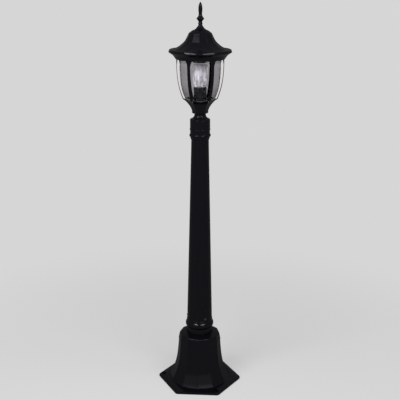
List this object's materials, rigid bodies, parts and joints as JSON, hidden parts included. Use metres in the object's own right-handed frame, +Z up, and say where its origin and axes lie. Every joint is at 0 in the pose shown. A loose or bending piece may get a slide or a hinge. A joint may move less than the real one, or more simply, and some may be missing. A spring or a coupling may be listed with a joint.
{
  "type": "outdoor lantern",
  "caption": "Post-mounted garden lantern: flared hexagonal foot, fluted tapered post, ribbed glass head and a lift-off bell roof with a spear finial.",
  "frame": {"origin": "on the ground, at the middle of the foot plate's underside, on the post's axis", "axes": "+Z up along the post, -Y the front as in the picture, two corners of the foot plate along +X and -X"},
  "size_m": [0.2662, 0.232, 1.2],
  "materials": {
    "black_paint": "gloss black paint on cast aluminium",
    "zinc_steel": "zinc plated steel",
    "stainless": "stainless steel fixings",
    "seat_steel": "black painted steel plate",
    "box_plastic": "grey moulded plastic",
    "terminal_plastic": "natural nylon",
    "gland_plastic": "black nylon",
    "brass": "plain brass",
    "rubber": "soft black rubber",
    "cable_sheath": "black rubber sheath",
    "clear_glass": "clear glass, smooth",
    "lamp_glass": "clear thin lamp glass",
    "holder_plastic": "black moulded plastic",
    "ceramic": "unglazed ceramic",
    "lamp_cap_aluminium": "rolled thin aluminium",
    "black_glass": "dark insulating glass",
    "solder": "tin solder",
    "filament_wire": "drawn wire"
  },
  "bodies": {
    "stand": {"base_casting": "black_paint", "base_collar": "black_paint", "collar_bolts": "zinc_steel", "collar_washers": "zinc_steel", "collar_set_screws": "stainless", "post_tube": "black_paint", "cable_bush": "rubber", "inner_cable": "cable_sheath", "box_bracket": "zinc_steel", "bracket_screws": "stainless", "terminal_box": "box_plastic", "terminal_box_lid": "box_plastic", "box_screws": "stainless", "terminal_block": "terminal_plastic", "terminal_screws": "brass", "supply_gland": "gland_plastic", "gland_nut": "gland_plastic", "earth_screw": "brass", "earth_washer": "brass"},
    "head": {"fitter": "black_paint", "fitter_set_screws": "stainless", "lantern_cup": "black_paint", "threaded_nipple": "zinc_steel", "nipple_nuts": "zinc_steel", "seat_plate": "seat_steel", "cage": "black_paint", "rib_screws": "stainless", "glass_gasket_lower": "rubber", "glass_bowl": "clear_glass", "glass_gasket_upper": "rubber", "holder_base": "holder_plastic", "holder_core": "ceramic", "holder_body": "holder_plastic", "holder_shell": "brass", "holder_contact": "brass", "roof_strap": "zinc_steel", "strap_screws": "stainless", "roof_stud": "zinc_steel", "stud_nuts": "zinc_steel"},
    "lamp": {"lamp_contact": "solder", "lamp_insulator": "black_glass", "lamp_cap": "lamp_cap_aluminium", "lamp_glass": "lamp_glass", "lamp_stem": "lamp_glass", "lamp_filament": "filament_wire"},
    "roof": {"roof_shell": "black_paint", "roof_gasket": "rubber"},
    "finial": {"finial_cap": "black_paint", "finial_insert": "brass", "finial_spear": "black_paint"}
  },
  "joints": [
    {"name": "head_swivel", "type": "hinge", "parent": "stand", "child": "head", "pos_m": [0, 0, 0.82], "axis": [0, 0, 1], "range_deg": [-180, 180]},
    {"name": "lamp_turn", "type": "hinge", "parent": "head", "child": "lamp", "pos_m": [0, 0, 0.94], "axis": [0, 0, 1], "continuous": true},
    {"name": "roof_lift", "type": "slide", "parent": "head", "child": "roof", "axis": [0, 0, 1], "range_m": [0, 0.12]},
    {"name": "finial_turn", "type": "hinge", "parent": "roof", "child": "finial", "pos_m": [0, 0, 1.13], "axis": [0, 0, 1], "continuous": true}
  ]
}
